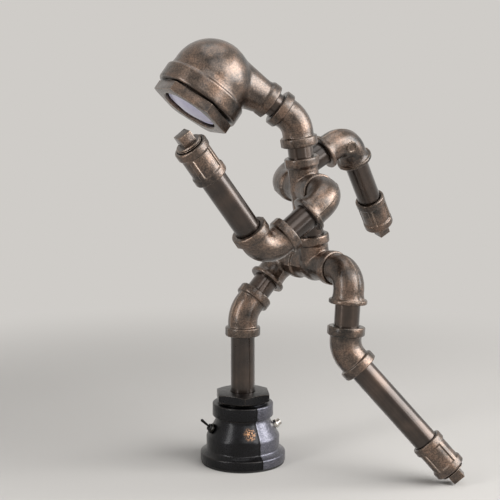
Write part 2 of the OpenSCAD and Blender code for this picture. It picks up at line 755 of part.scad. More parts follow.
// Through the neck elbow to the head
module neck_lead() {
  color("#d8d4cc") neck_frame() {
    lead_run(0, bend_face - thread_len - end_gap);
    lead_corner();
    rotate([0, knee_bend, 0]) rotate([180, 0, 0]) lead_run(0, head_reach - head_leg + thread_len - end_gap);
  }
}

module head_lead() {
  color("#d8d4cc") head_frame() lead_run(holder_d / 2 + fit_gap, head_leg - thread_len);
}

base_pad();
base_reducer();
base_bushing();
terminal_block();
cord_inlet();
inlet_nut();
switch_body();
switch_nut();
switch_lever();
switch_lead();
stand_lead();
right_shin();
right_knee();
right_thigh_pipe();
right_hip();
pelvis_tee();
left_hip();
left_thigh_pipe();
left_knee();
left_shin();
left_foot();
left_toe_plug();
spine_pipe();
chest_cross();
neck_pipe();
left_shoulder();
left_upper_arm();
left_elbow();
left_forearm_pipe();
left_hand();
left_hand_plug();
right_shoulder();
right_upper_arm();
right_elbow();
right_forearm_pipe();
right_hand();
right_hand_plug();
neck_elbow();
neck_lead();
head_pipe();
head_elbow();
head_ring();
holder_cup();
holder_screws();
lamp_holder();
lamp_body();
lamp_lens();
head_lead();
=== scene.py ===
import math
import bmesh
import bpy
from mathutils import Matrix, Vector


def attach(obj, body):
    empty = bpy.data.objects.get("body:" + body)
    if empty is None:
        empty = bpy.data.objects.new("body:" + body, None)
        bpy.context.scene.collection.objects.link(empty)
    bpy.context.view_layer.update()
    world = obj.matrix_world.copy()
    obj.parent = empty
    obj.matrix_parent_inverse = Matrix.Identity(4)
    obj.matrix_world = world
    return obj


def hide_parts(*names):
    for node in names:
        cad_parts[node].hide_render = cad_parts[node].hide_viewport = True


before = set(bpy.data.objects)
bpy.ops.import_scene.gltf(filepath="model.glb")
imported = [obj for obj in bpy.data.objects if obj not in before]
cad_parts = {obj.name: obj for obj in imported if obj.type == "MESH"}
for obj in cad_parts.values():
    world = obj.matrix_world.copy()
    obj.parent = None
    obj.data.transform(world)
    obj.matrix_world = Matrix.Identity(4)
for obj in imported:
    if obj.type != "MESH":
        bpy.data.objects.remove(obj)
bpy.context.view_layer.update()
print("frame loaded")

mm = 0.001  # pieces are modelled in millimetres about their own centre, and placePiece takes them to metres

robot = {  # lengths from one fitting's centre to the next, and angles in degrees
    "kneeHeight": 135.4, "rightThigh": 62.7, "leftThigh": 66.9, "leftThighLean": -3.8, "leftKneeTurn": 141.6,
    "leftShin": 102.66, "toeTurn": 176.5, "spineLean": 9.9, "spineLength": 68, "chestTurn": -10.8,
    "upperArm": 74, "leftArmSwing": -61.8, "leftElbowTurn": 5.5, "leftForearm": 82.4, "rightArmSwing": 111.4,
    "rightElbowTurn": -13.8, "rightForearm": 71.4, "neckLength": 57.5, "neckTurn": -27.6, "headReach": 79.2,
    "headLeg": 52.7, "headTurn": 14.2, "branchReach": 46.6, "kneeBend": 45, "armBend": 90, "footHold": 64,
}


def shift(x, y, z):
    return Matrix.Translation((x, y, z))


def lean(degrees):
    return Matrix.Rotation(math.radians(degrees), 4, "Y")


def roll(degrees):
    return Matrix.Rotation(math.radians(degrees), 4, "X")


def turn(degrees):
    return Matrix.Rotation(math.radians(degrees), 4, "Z")


def limbPlace(trunk, side, swing):
    return trunk @ shift(0, side * robot["branchReach"], 0) @ lean(swing)


# The knee or elbow at the end of a limb's first pipe
def limbEnd(limb, upper, endTurn):
    return limb @ shift(0, 0, -upper) @ turn(endTurn)


def rootPlace(limb, side):
    return limb @ roll(-90 * side) @ turn(90 * side)


# Each place is the matrix of a stretch of the robot, in millimetres
hipDrop = robot["rightThigh"] * math.sin(math.radians(robot["kneeBend"]))
pelvisPlace = shift(-hipDrop, robot["branchReach"], robot["kneeHeight"] + hipDrop)
spinePlace = pelvisPlace @ lean(robot["spineLean"])
chestPlace = spinePlace @ shift(0, 0, robot["spineLength"]) @ turn(robot["chestTurn"])
rightLegPlace = limbPlace(pelvisPlace, -1, -robot["kneeBend"])
leftLegPlace = limbPlace(pelvisPlace, 1, robot["leftThighLean"])
leftArmPlace = limbPlace(chestPlace, 1, robot["leftArmSwing"])
rightArmPlace = limbPlace(chestPlace, -1, robot["rightArmSwing"])
rightKneePlace = limbEnd(rightLegPlace, robot["rightThigh"], 180)
leftKneePlace = limbEnd(leftLegPlace, robot["leftThigh"], robot["leftKneeTurn"])
leftElbowPlace = limbEnd(leftArmPlace, robot["upperArm"], robot["leftElbowTurn"])
rightElbowPlace = limbEnd(rightArmPlace, robot["upperArm"], robot["rightElbowTurn"])
rightShinPlace, leftShinPlace = (p @ lean(-robot["kneeBend"]) for p in (rightKneePlace, leftKneePlace))
leftForearmPlace, rightForearmPlace = (p @ lean(-robot["armBend"]) for p in (leftElbowPlace, rightElbowPlace))
neckPlace = spinePlace @ shift(0, 0, robot["spineLength"] + robot["neckLength"]) @ turn(robot["neckTurn"])
headPlace = neckPlace @ lean(robot["kneeBend"]) @ shift(0, 0, robot["headReach"]) @ turn(robot["headTurn"])
lampPlace = headPlace @ lean(90)


def linear(hexColour):
    channels = [int(hexColour[i:i + 2], 16) / 255 for i in (1, 3, 5)]
    return [c / 12.92 if c <= 0.04045 else ((c + 0.055) / 1.055) ** 2.4 for c in channels] + [1]


def setSockets(tree, node, values, links):
    for socket, value in values.items():
        node.inputs[socket].default_value = value
    for socket, source in links.items():
        if isinstance(source, bpy.types.Node):  # a node given whole is linked from its first output
            source = source.outputs[0]
        tree.links.new(source, node.inputs[socket])


def addNode(tree, kind, values=None, links=None, stops=(), **settings):
    node = tree.nodes.new("ShaderNode" + kind)
    for name, value in settings.items():
        setattr(node, name, value)
    setSockets(tree, node, values or {}, links or {})
    if stops:  # of a colour ramp
        elements = node.color_ramp.elements
        while len(elements) < len(stops):
            elements.new(0.5)
        for element, (place, colour) in zip(elements, stops):
            element.position, element.color = place, linear(colour)
    return node


def newMaterial(name):
    material = bpy.data.materials.new(name)
    material.use_nodes = True
    tree = material.node_tree
    return material, tree, tree.nodes["Principled BSDF"], addNode(tree, "TexCoord").outputs["Object"]


def scaleOf(size):  # a pattern's scale from the real size of its spots in mm
    return 1 / (size * mm)


noiseEnds = (0.3, 0.7)  # most of a noise lies between these


def ends(span, unit=1):  # of what a range takes in
    return {"From Min": span[0] * unit, "From Max": span[1] * unit}


# Every finish ends with gloss that follows one pattern, relief that follows another and even values
def finishShader(tree, shader, look, colour, scuffs, height):
    gloss = addNode(tree, "MapRange", links={"Value": scuffs}, values={
        **ends(noiseEnds), "To Min": look["rough"][0], "To Max": look["rough"][1]})
    bump = addNode(tree, "Bump", {"Strength": look["relief"], "Distance": look["depth"] * mm},
                   {"Height": height})
    even = {"Metallic": look["metallic"], "Coat Weight": look["coat"], "Coat Roughness": look["coatRough"]}
    setSockets(tree, shader, even, {"Base Color": colour, "Roughness": gloss, "Normal": bump})


# The mould's ridge on the base, its painted shade, painted lit side and worn copper patch: turns about the
# base, lengths in mm
ridgeLook = {
    "turn": 83, "dark": "#08080a", "shadeAt": 0.8, "shadeEnds": (0.7, 0.3), "shadeShare": 0.9, "jag": 2,
    "paintedLitSide": "#5d5d66", "litSideTurn": 113, "litSideFacing": (0.35, 0.8), "litSideFrom": (1.2, 1.6),
    "litSideTop": (54.3, 53.9), "patch": "#b98a63", "patchAt": (10.9, 26.9, 32), "patchEnds": (6.5, 1.95),
    "patchShare": 0.9, "dotSize": 1.3, "dotEnds": (0.46, 0.6),
}


# Painted light and shade: one side of the ridge is painted lighter where lit, its shadow side is painted dark,
# and a worn patch beside it shows copper
def ridgeLightShadeAndWear(tree, spot, colour, scuffs, ridge):
    side, middle = (Vector((math.cos(a), math.sin(a), 0)) for a in
                    (math.radians(ridge["turn"] + 90), math.radians(ridge["litSideTurn"])))
    across = addNode(tree, "VectorMath", {1: side}, {0: spot}, operation="DOT_PRODUCT").outputs["Value"]
    jagged = addNode(tree, "Math", {1: ridge["jag"] * mm}, {0: scuffs, 2: across}, operation="MULTIPLY_ADD")
    # Painted light: the side beyond the ridge that faces the lamps, below the top band, is painted a lighter
    # grey
    litSideMask = addNode(tree, "MapRange", ends(ridge["litSideFrom"], mm), {"Value": jagged})
    level = addNode(tree, "VectorMath", {1: (1, 1, 0)}, {0: spot}, operation="MULTIPLY")
    unit = addNode(tree, "VectorMath", links={0: level}, operation="NORMALIZE")
    facing = addNode(tree, "VectorMath", {1: middle}, {0: unit}, operation="DOT_PRODUCT")
    fading = addNode(tree, "MapRange", ends(ridge["litSideFacing"]), {"Value": facing.outputs["Value"]})
    height = addNode(tree, "SeparateXYZ", links={"Vector": spot}).outputs["Z"]
    below = addNode(tree, "MapRange", ends(ridge["litSideTop"], mm), {"Value": height})
    sideShare = addNode(tree, "Math", links={0: litSideMask, 1: fading}, operation="MULTIPLY")
    paintedLightShare = addNode(tree, "Math", links={0: sideShare, 1: below}, operation="MULTIPLY")
    paintedLitSide = addNode(tree, "Mix", {7: linear(ridge["paintedLitSide"])}, {"Factor": paintedLightShare, 6: colour},
                   data_type="RGBA").outputs[2]
    away = addNode(tree, "VectorMath", {1: [mm * v for v in ridge["patchAt"]]}, {0: spot},
                   operation="DISTANCE").outputs["Value"]
    near = addNode(tree, "MapRange", {**ends(ridge["patchEnds"], mm), "To Max": ridge["patchShare"]},
                   {"Value": away})
    dots = addNode(tree, "TexNoise", links={"Vector": spot}, values={
        "Scale": scaleOf(ridge["dotSize"]), "Detail": 1, "Roughness": 0.5})
    speckle = addNode(tree, "MapRange", ends(ridge["dotEnds"]), {"Value": dots})
    dotShare = addNode(tree, "Math", links={0: near, 1: speckle}, operation="MULTIPLY")
    patch = addNode(tree, "Mix", {7: linear(ridge["patch"])}, {"Factor": dotShare, 6: paintedLitSide},
                    data_type="RGBA").outputs[2]
    # Painted shade: a dark jagged line just off the ridge, where its shadow falls
    offRidge = addNode(tree, "Math", {1: ridge["shadeAt"] * mm}, {0: jagged}, operation="SUBTRACT")
    farRidge = addNode(tree, "Math", links={0: offRidge}, operation="ABSOLUTE")
    ridgeShade = addNode(tree, "MapRange", {**ends(ridge["shadeEnds"], mm), "To Max": ridge["shadeShare"]},
                      {"Value": farRidge})
    return addNode(tree, "Mix", {7: linear(ridge["dark"])}, {"Factor": ridgeShade, 6: patch},
                   data_type="RGBA").outputs[2]


# Sand grain is about 0.3 mm: it is drawn four times as coarse, so that it shows
castLook = {
    "patina": "#18130f", "bronze": "#56483e", "warm": "#786050", "worn": "#b8a28e", "toneAt": (0.3, 0.5, 0.72),
    "cloudSize": 16, "scuffSize": 3, "pitSize": 4, "grainSize": 1.2, "depth": 0.4, "relief": 0.6,
    "edgeWidth": 1.2, "edgeEnds": (0.995, 0.9), "cornerDepth": 5, "cornerEnds": (0.35, 0.85),
    "cornerShare": 0.25, "fleckEnds": (0.36, 0.66), "fleckShare": (0.6, 1.45), "rough": (0.33, 0.45),
    "metallic": 1, "coat": 0.9, "coatRough": 0.24,
}
ironLook = dict(castLook, patina="#08080a", bronze="#121215", warm="#1a1819", worn="#62584f", depth=0.3,
                coat=0.45)


# Malleable iron with a rubbed bronze lacquer: dark in the corners, bare and warm on the edges, with cast grain
def rubbedCasting(name, look, ridge=None):
    material, tree, shader, spot = newMaterial(name)
    clouds, scuffs, grain, pits = (
        addNode(tree, "TexNoise", links={"Vector": spot}, values={
            "Scale": scaleOf(look[size]), "Detail": detail, "Roughness": roughness})
        for size, detail, roughness in (("cloudSize", 4, 0.6), ("scuffSize", 3, 0.7), ("grainSize", 2, 0.6),
                                        ("pitSize", 3, 0.6)))
    tone = addNode(tree, "ValToRGB", links={"Fac": clouds}, stops=list(zip(
        look["toneAt"], (look["patina"], look["bronze"], look["warm"]))))
    edgeNormal = addNode(tree, "Bevel", {"Radius": look["edgeWidth"] * mm}, samples=4)
    plainNormal = addNode(tree, "NewGeometry").outputs["Normal"]
    same = addNode(tree, "VectorMath", links={0: edgeNormal, 1: plainNormal}, operation="DOT_PRODUCT")
    edge = addNode(tree, "MapRange", ends(look["edgeEnds"]), {"Value": same.outputs["Value"]})
    wear = addNode(tree, "Math", links={0: edge, 1: scuffs}, operation="MULTIPLY")
    corner = addNode(tree, "AmbientOcclusion", {"Distance": look["cornerDepth"] * mm}, samples=6)
    openness = addNode(tree, "MapRange", {**ends(look["cornerEnds"]), "To Min": look["cornerShare"]},
                       {"Value": corner.outputs["AO"]})
    openWear = addNode(tree, "Math", links={0: wear, 1: openness}, operation="MULTIPLY")
    rubbed = addNode(tree, "Mix", {7: linear(look["worn"])}, {"Factor": openWear, 6: tone},
                     data_type="RGBA").outputs[2]
    colour = addNode(tree, "Mix", {6: linear(look["patina"])}, {"Factor": openness, 7: rubbed},
                     data_type="RGBA").outputs[2]
    # the base's ridge gets painted shade, a painted lit side and a worn copper patch
    if ridge:
        colour = ridgeLightShadeAndWear(tree, spot, colour, scuffs, ridge)
    fleck = addNode(tree, "MapRange", links={"Value": grain}, values={
        **ends(look["fleckEnds"]), "To Min": look["fleckShare"][0], "To Max": look["fleckShare"][1]})
    flecked = addNode(tree, "VectorMath", links={0: colour, "Scale": fleck}, operation="SCALE")
    height = addNode(tree, "Math", links={0: grain, 1: pits}, operation="ADD")
    finishShader(tree, shader, look, flecked, scuffs, height)
    return material


# The marks of drawing are finer than 0.1 mm: grain and streaks are drawn coarser, so that they show
pipeLook = {
    "dark": "#261f1b", "bronze": "#3b3029", "tint": "#4f4036", "toneAt": (0.4, 0.64, 0.86), "streakWidth": 2.4,
    "streakLength": 60, "streakShare": 0.3, "cloudSize": 22, "grainSize": 0.7, "depth": 0.02, "relief": 0.5,
    "rough": (0.26, 0.34), "metallic": 1, "coat": 0.9, "coatRough": 0.18,
}


# Drawn steel pipe under the same lacquer: smooth satin, with faint streaks along its length
def drawnPipe(name, look, place):
    material, tree, shader, spot = newMaterial(name)
    turned = place.to_quaternion().to_matrix().to_4x4()
    inPipe = (shift(*(mm * v for v in place.translation)) @ turned).inverted()
    along = addNode(tree, "Mapping", {"Location": inPipe.translation, "Rotation": inPipe.to_euler()},
                    {"Vector": spot})
    stretch = addNode(tree, "VectorMath", {1: (1, 1, look["streakWidth"] / look["streakLength"])},
                      {0: along}, operation="MULTIPLY")
    streaks, clouds, grain = (
        addNode(tree, "TexNoise", links={"Vector": source}, values={
            "Scale": scaleOf(look[size]), "Detail": detail, "Roughness": roughness})
        for source, size, detail, roughness in ((stretch, "streakWidth", 3, 0.6), (spot, "cloudSize", 3, 0.5),
                                                (spot, "grainSize", 2, 0.5)))
    both = addNode(tree, "Math", {1: look["streakShare"]}, {0: streaks, 2: clouds},
                   operation="MULTIPLY_ADD")
    tone = addNode(tree, "ValToRGB", links={"Fac": both}, stops=list(zip(
        look["toneAt"], (look["dark"], look["bronze"], look["tint"]))))
    finishShader(tree, shader, look, tone, clouds, grain)
    return material


mottle = {"toneAt": (0.32, 0.68), "fineShare": 8, "relief": 0.4, "glossShare": (0.85, 1.15), "coatRough": 0.03}


# A plain material whose colour and gloss vary a little. Its fine grain is coarser than the real one, to show.
def mottled(name, light, dark, rough, size, metallic=0.0, depth=0.02, coat=0.0):
    material, tree, shader, spot = newMaterial(name)
    clouds = addNode(tree, "TexNoise", links={"Vector": spot}, values={
        "Scale": scaleOf(size), "Detail": 4, "Roughness": 0.6})
    fine = addNode(tree, "TexNoise", links={"Vector": spot}, values={
        "Scale": scaleOf(size / mottle["fineShare"]), "Detail": 2, "Roughness": 0.5})
    tone = addNode(tree, "ValToRGB", links={"Fac": clouds}, stops=list(zip(
        mottle["toneAt"], (dark, light))))
    rough = [rough * share for share in mottle["glossShare"]]
    look = dict(mottle, rough=rough, depth=depth, metallic=metallic, coat=coat)
    finishShader(tree, shader, look, tone, fine, fine)
    return material


bronzeCasting = rubbedCasting("rubbed bronze casting", castLook)
# The blackened iron also carries the ridge's painted shade and painted lit side
blackCasting = rubbedCasting("blackened iron casting", ironLook, ridgeLook)  # black, softer grain and sheen
nickelSteel = mottled("nickel plated steel", "#d8d4cd", "#b4afa8", 0.18, 4, 1.0, 0.01)  # bright and crisp
blackSteel = mottled("black oxide steel", "#26241f", "#141311", 0.3, 3, 1.0, 0.01, 0.3)  # oily black sheen
zincSteel = mottled("zinc plated pressing", "#a8a59e", "#8b8881", 0.38, 6, 1.0)  # cloudy grey satin
padRubber = mottled("moulded black rubber", "#262626", "#191919", 0.75, 5, 0.0, 0.05)  # dull, no highlight
ivoryMoulding = mottled("ivory thermoset moulding", "#e6e0d2", "#dcd5c6", 0.42, 7)  # warm white, half matt
blackMoulding = mottled("black switch moulding", "#1e1d1c", "#141413", 0.4, 5)  # black, soft highlights
leadSheath = mottled("soft pale lead sheath", "#d9d4c9", "#cdc7bb", 0.55, 6)  # pale and waxy
lampShell = mottled("white moulded lamp shell", "#dcd9d2", "#d2cec6", 0.45, 5)  # off-white, half matt
frostedLens = mottled("frosted lavender diffuser", "#cbc9de", "#bfbcd4", 0.34, 9, 0.0, 0.02, 0.25)  # milky
print("materials made")


casting = {
    "sides": 96, "body": 26, "collar": 31, "collarWidth": 8, "edge": 1.3, "fillet": 1.0, "neck": 3.5,
    "flash": 0.28, "mouthChamfer": 0.8, "bendSteps": 20, "smoothAngle": 38,
}
pipe = {"diameter": 21.3, "bore": 16.1, "socket": 21.4, "threadDepth": 13, "endGap": 0.4, "chamfer": 0.8}
lip = {"diameter": 32.4, "width": 3.4, "flare": 6, "edge": 1.2, "backEdge": 0.72}
street = {"gap": 0.3, "rootEdge": 0.6}
elbowFace, bendFace = 27, 21  # from the centre of an elbow, tee or cross to its face, and of a 45 degree bend
past = 0.5  # how far a cutting tool runs out of the face that it opens
overlap = 1  # how far one solid reaches into the next
threadCrest = (0.42, 0.58)  # where the crest of a thread's turn begins and ends, as shares of the pitch


def deselectAll():
    bpy.ops.object.select_all(action="DESELECT")


def pickOnly(piece):
    deselectAll()
    piece.select_set(True)
    bpy.context.view_layer.objects.active = piece


# A rim starts below or above the centre and is extruded along its way, and every step has its own radius
def beginRing(radius, distance, side=1, sides=casting["sides"], flash=0.0, solid=False):
    deselectAll()
    bpy.ops.mesh.primitive_circle_add(vertices=sides, radius=radius, fill_type="NGON" if solid else "NOTHING")
    piece = bpy.context.object
    bpy.ops.object.mode_set(mode="EDIT")
    rim = bmesh.from_edit_mesh(piece.data)
    for v in rim.verts:
        v.co.z = side * distance
    if flash:  # the parting line of the mould lies in the XZ plane
        for v in sorted(rim.verts, key=lambda v: abs(v.co.x))[-2:]:
            v.co.x *= 1 + flash / radius
    bmesh.update_edit_mesh(piece.data)
    bpy.ops.mesh.select_all(action="SELECT")
    return {"piece": piece, "at": Vector((0, 0, side * distance)), "way": Vector((0, 0, 1)), "radius": radius,
            "distance": distance}


def growRing(ring, advance, radius):
    ring["at"] = ring["at"] + ring["way"] * advance
    bpy.ops.mesh.extrude_region_move(TRANSFORM_OT_translate={"value": ring["way"] * advance})
    size = radius / ring["radius"]
    bpy.ops.transform.resize(value=(size, size, size), center_override=ring["at"])
    ring["radius"] = radius


# Points are (distance from the fitting's centre, radius). Outward means away from the centre.
def followProfile(ring, points, outward=True):
    for distance, radius in points:
        if abs(distance - ring["distance"]) + abs(radius - ring["radius"]) < 1e-4:
            continue
        growRing(ring, (distance - ring["distance"]) * (1 if outward else -1), radius)
        ring["distance"] = distance


def bendRing(ring, bendRadius, degrees):
    side = Vector((0, 1, 0)).cross(ring["way"]) * (1 if degrees > 0 else -1)
    centre = ring["at"] + side * bendRadius
    bpy.ops.mesh.spin(steps=casting["bendSteps"], angle=-math.radians(degrees), center=centre,
                      axis=(0, 1, 0))  # it turns clockwise
    swing = Matrix.Rotation(math.radians(degrees), 3, "Y")
    ring["at"] = centre + swing @ (ring["at"] - centre)
    ring["way"] = swing @ ring["way"]


def smoothPiece(piece, angle=casting["smoothAngle"]):
    pickOnly(piece)
    bpy.ops.object.shade_smooth_by_angle(angle=math.radians(angle))


def endPiece(piece):
    bpy.ops.mesh.select_all(action="SELECT")
    bpy.ops.mesh.remove_doubles(threshold=0.005)
    bpy.ops.mesh.normals_make_consistent(inside=False)
    bpy.ops.object.mode_set(mode="OBJECT")
    smoothPiece(piece)
    return piece


def arcPoints(distance, radius, size, start, end, count=4):
    steps = [math.radians(start + (end - start) * i / count) for i in range(count + 1)]
    return [(distance + size * math.cos(a), radius + size * math.sin(a)) for a in steps]


def offsetPoints(distance, radius, offsets):
    return [(distance + along, radius + out) for along, out in offsets]


def mirrored(points, length=0):
    return [(length - distance, radius) for distance, radius in points[::-1]]


# The outside of a socket from its face to the body: a plain round band, or a thin lip with a long flare
def bandEnd(face, diameter, body):
    edge, fillet, back = casting["edge"], casting["fillet"], face - casting["collarWidth"]
    rim = diameter / 2 - edge
    return (arcPoints(face - edge, rim, edge, 0, 90) + arcPoints(back + edge, rim, edge, 90, 165)
            + arcPoints(back - fillet, body / 2 + fillet, fillet, -12, -90))


def lipEnd(face, body):
    edge, back = lip["edge"], face - lip["width"]
    rim = lip["diameter"] / 2 - edge
    flare = [(back - lip["flare"] * (1 - math.cos(a)), rim - (rim - body / 2) * math.sin(a))
             for a in [math.radians(15 * i) for i in range(1, 7)]]
    return (arcPoints(face - edge, rim, edge, 0, 90)
            + arcPoints(back + lip["backEdge"], rim, edge, 100, 150, 2) + flare)


def socketInside(face):
    socket, chamfer, depth = pipe["socket"] / 2, casting["mouthChamfer"], pipe["threadDepth"]
    return [(face, socket + chamfer), (face - chamfer, socket), (face - depth, socket),
            (face - depth, pipe["bore"] / 2)]


# The way into a socket, as a tool that cuts it
def socketWay(face):
    out = 2 * past
    return socketInside(face)[::-1] + [(face + out, pipe["socket"] / 2 + casting["mouthChamfer"] + out)]


# An elbow's outer skin runs from its inlet to its outlet, and its bore runs back.
# A street elbow's inlet is male.
def elbowModel(bend, face, end, male=False):
    start, boreStart = face - casting["collarWidth"] - casting["neck"], face - pipe["threadDepth"]
    halfTan = math.tan(math.radians(bend / 2))
    body, bore = casting["body"] / 2, pipe["bore"] / 2
    hold = robot["branchReach"] - elbowFace  # from a street elbow's centre to the face that holds it
    tip = hold + pipe["threadDepth"] - pipe["endGap"]
    if male:
        root, rootEdge = hold - street["gap"], street["rootEdge"]
        thread, chamfer = pipe["diameter"] / 2, pipe["chamfer"]
        ring = beginRing(bore, tip, -1, flash=casting["flash"])
        followProfile(ring, [(tip, thread - chamfer), (tip - chamfer, thread), (root, thread),
                             (root, body - rootEdge), (root - rootEdge, body), (start, body)], False)
    else:
        ring = beginRing(pipe["socket"] / 2 + casting["mouthChamfer"], face, -1, flash=casting["flash"])
        followProfile(ring, end + [(start, body)], False)
    bendRing(ring, start / halfTan, bend)
    followProfile(ring, end[::-1] + socketInside(face)[:1])
    ring["way"] = -ring["way"]
    followProfile(ring, socketInside(face)[1:], False)
    bendRing(ring, boreStart / halfTan, -bend)
    followProfile(ring, [(tip, bore)] if male else socketInside(face)[::-1])
    return endPiece(ring["piece"])


def turnedModel(points, sides=casting["sides"], flash=0.0, solid=True):
    ring = beginRing(points[0][1], points[0][0], 1, sides, flash, solid)
    followProfile(ring, points[1:])
    return endPiece(ring["piece"])


def movedModel(model, place):
    model.data.transform(place)
    return model


def ballModel(radius, segments, height=0.0):
    deselectAll()
    bpy.ops.mesh.primitive_uv_sphere_add(segments=segments, ring_count=segments // 2, radius=radius,
                                         location=(0, 0, height))
    bpy.ops.object.transform_apply()
    return bpy.context.object


def blockModel(place, size):
    deselectAll()
    bpy.ops.mesh.primitive_cube_add(size=1)
    return movedModel(bpy.context.object, place @ Matrix.Diagonal((*size, 1)))


def applyModifier(piece, kind, **settings):
    pickOnly(piece)
    modifier = piece.modifiers.new("step", kind)
    for name, value in settings.items():
        setattr(modifier, name, value)
    bpy.ops.object.modifier_apply(modifier=modifier.name)


def dropModels(*models):
    for model in models:
        bpy.data.objects.remove(model)


def combine(piece, tool, operation):
    applyModifier(piece, "BOOLEAN", object=tool, operation=operation, solver="EXACT")
    dropModels(tool)


# Parts are melted into one casting, and their corners with them
def castTogether(parts, voxel, smoothing):
    deselectAll()
    for part in parts:
        part.select_set(True)
    bpy.context.view_layer.objects.active = parts[0]
    bpy.ops.object.join()
    applyModifier(parts[0], "REMESH", mode="VOXEL", voxel_size=voxel)
    applyModifier(parts[0], "SMOOTH", factor=0.5, iterations=smoothing)
    return parts[0]


def placePiece(model, name, place, body, nodes, material=bronzeCasting):
    piece = model.copy()
    piece.data = model.data.copy()
    piece.name = piece.data.name = name
    bpy.context.collection.objects.link(piece)
    piece.data.transform(Matrix.Scale(mm, 4) @ place)
    piece.data.materials.clear()
    piece.data.materials.append(material)
    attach(piece, body)
    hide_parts(*nodes)


boss = {"diameter": 11, "edge": 0.5, "rise": 0.9, "rim": 1.6, "dish": 0.7, "sunk": 3, "sides": 48}


# Round pads on both sides of a bend, left plain
def addBosses(piece, bend, face):
    start, half = face - casting["collarWidth"] - casting["neck"], math.radians(bend / 2)
    bendRadius = start / math.tan(half)
    middle = shift(bendRadius * (1 - math.cos(half)), 0, bendRadius * math.sin(half) - start)
    top, radius, edge = casting["body"] / 2 + boss["rise"], boss["diameter"] / 2, boss["edge"]
    dishTop = radius - boss["rim"]
    for side in (90, -90):
        pad = turnedModel([(top - boss["sunk"], radius), (top - edge, radius), (top, radius - edge),
                           (top, dishTop), (top - boss["dish"], dishTop - boss["dish"])], boss["sides"])
        combine(piece, movedModel(pad, middle @ roll(side)), "UNION")
    smoothPiece(piece)


bandOut, bandKnee = (bandEnd(face, casting["collar"], casting["body"]) for face in (elbowFace, bendFace))
lipOut = lipEnd(elbowFace, casting["body"])
kneeModel = elbowModel(robot["kneeBend"], bendFace, bandKnee)
armModel = elbowModel(robot["armBend"], elbowFace, bandOut)
farArmModel = elbowModel(robot["armBend"], elbowFace, lipOut)
addBosses(farArmModel, robot["armBend"], elbowFace)
streetModel = elbowModel(robot["armBend"], elbowFace, lipOut, True)
for name, model, place, body, node in [
        ("rightKneeElbow", kneeModel, rightKneePlace @ roll(180), "stand", "right_knee"),
        ("leftKneeElbow", kneeModel, leftKneePlace @ roll(180), "stand", "left_knee"),
        ("neckElbow", kneeModel, neckPlace, "neck", "neck_elbow"),
        ("leftArmElbow", armModel, leftElbowPlace @ roll(180), "left_lower_arm", "left_elbow"),
        ("rightArmElbow", farArmModel, rightElbowPlace @ roll(180), "right_lower_arm", "right_elbow"),
        ("rightHipElbow", streetModel, rootPlace(rightLegPlace, -1), "stand", "right_hip"),
        ("leftHipElbow", streetModel, rootPlace(leftLegPlace, 1), "stand", "left_hip"),
        ("leftShoulderElbow", streetModel, rootPlace(leftArmPlace, 1), "left_arm", "left_shoulder"),
        ("rightShoulderElbow", streetModel, rootPlace(rightArmPlace, -1), "right_arm", "right_shoulder")]:
    placePiece(model, name, place, body, [node])
dropModels(kneeModel, armModel, farArmModel, streetModel)
print("elbows made")


# A pipe hangs along -Z of its place, from one fitting's face to the next, and reaches into both sockets
def pipeModel(start, end):
    tip, bore, lap = pipe["diameter"] / 2, pipe["bore"] / 2, pipe["threadDepth"] - pipe["endGap"]
    low, high, chamfer = start - lap, end + lap, pipe["chamfer"]
    points = [(low, bore), (low, tip - chamfer), (low + chamfer, tip), (high - chamfer, tip),
              (high, tip - chamfer), (high, bore), (low, bore)]
    return movedModel(turnedModel(points, solid=False), roll(180))


for name, place, start, end, body, node in [
        ("rightShinPipe", rightShinPlace, bendFace, robot["kneeHeight"] - robot["footHold"], "stand",
         "right_shin"),
        ("rightThighPipe", rightLegPlace, elbowFace, robot["rightThigh"] - bendFace, "stand",
         "right_thigh_pipe"),
        ("leftThighPipe", leftLegPlace, elbowFace, robot["leftThigh"] - bendFace, "stand", "left_thigh_pipe"),
        ("leftShinPipe", leftShinPlace, bendFace, robot["leftShin"], "stand", "left_shin"),
        ("spinePipe", chestPlace, elbowFace, robot["spineLength"] - elbowFace, "stand", "spine_pipe"),
        ("neckPipe", chestPlace @ roll(180), elbowFace, robot["neckLength"] - bendFace, "stand", "neck_pipe"),
        ("leftArmPipe", leftArmPlace, elbowFace, robot["upperArm"] - elbowFace, "left_arm", "left_upper_arm"),
        ("rightArmPipe", rightArmPlace, elbowFace, robot["upperArm"] - elbowFace, "right_arm",
         "right_upper_arm"),
        ("leftForearmPipe", leftForearmPlace, elbowFace, robot["leftForearm"], "left_lower_arm",
         "left_forearm_pipe"),
        ("rightForearmPipe", rightForearmPlace, elbowFace, robot["rightForearm"], "right_lower_arm",
         "right_forearm_pipe"),
        ("headPipe", headPlace, robot["headLeg"], robot["headReach"] - bendFace, "neck", "head_pipe")]:
    model = pipeModel(start, end)
    finish = drawnPipe("drawn pipe of " + name, pipeLook, place)
    placePiece(model, name, place, body, [node], finish)
    dropModels(model)
print("pipes made")


branch = {"collar": 29.5, "core": 28.4, "voxel": 0.55, "smoothing": 4, "flash": 0.5}


# A tee or cross has an arm at each turn. Each way is its turn and whether it goes right through.
def branchModel(turns, ways):
    outside = [(0, casting["body"] / 2)] + bandEnd(elbowFace, branch["collar"], casting["body"])[::-1]
    parts = [movedModel(turnedModel(outside, flash=branch["flash"]), roll(angle)) for angle in turns]
    parts.append(ballModel(branch["core"] / 2, 64))
    piece = castTogether(parts, branch["voxel"], branch["smoothing"])
    half = socketWay(elbowFace)
    for angle, through in ways:
        start = mirrored(half) if through else [(0, half[0][1] - 0.02)]  # no two walls of the tools coincide
        combine(piece, movedModel(turnedModel(start + half), roll(angle)), "DIFFERENCE")
    smoothPiece(piece)
    return piece


teeModel = branchModel([0, 90, -90], [(90, True), (0, False)])
crossModel = branchModel([0, 90, 180, 270], [(90, True), (0, False), (180, False)])
placePiece(teeModel, "pelvisTee", spinePlace, "stand", ["pelvis_tee"])
placePiece(crossModel, "chestCross", chestPlace, "stand", ["chest_cross"])
dropModels(teeModel, crossModel)
print("tee and cross made")


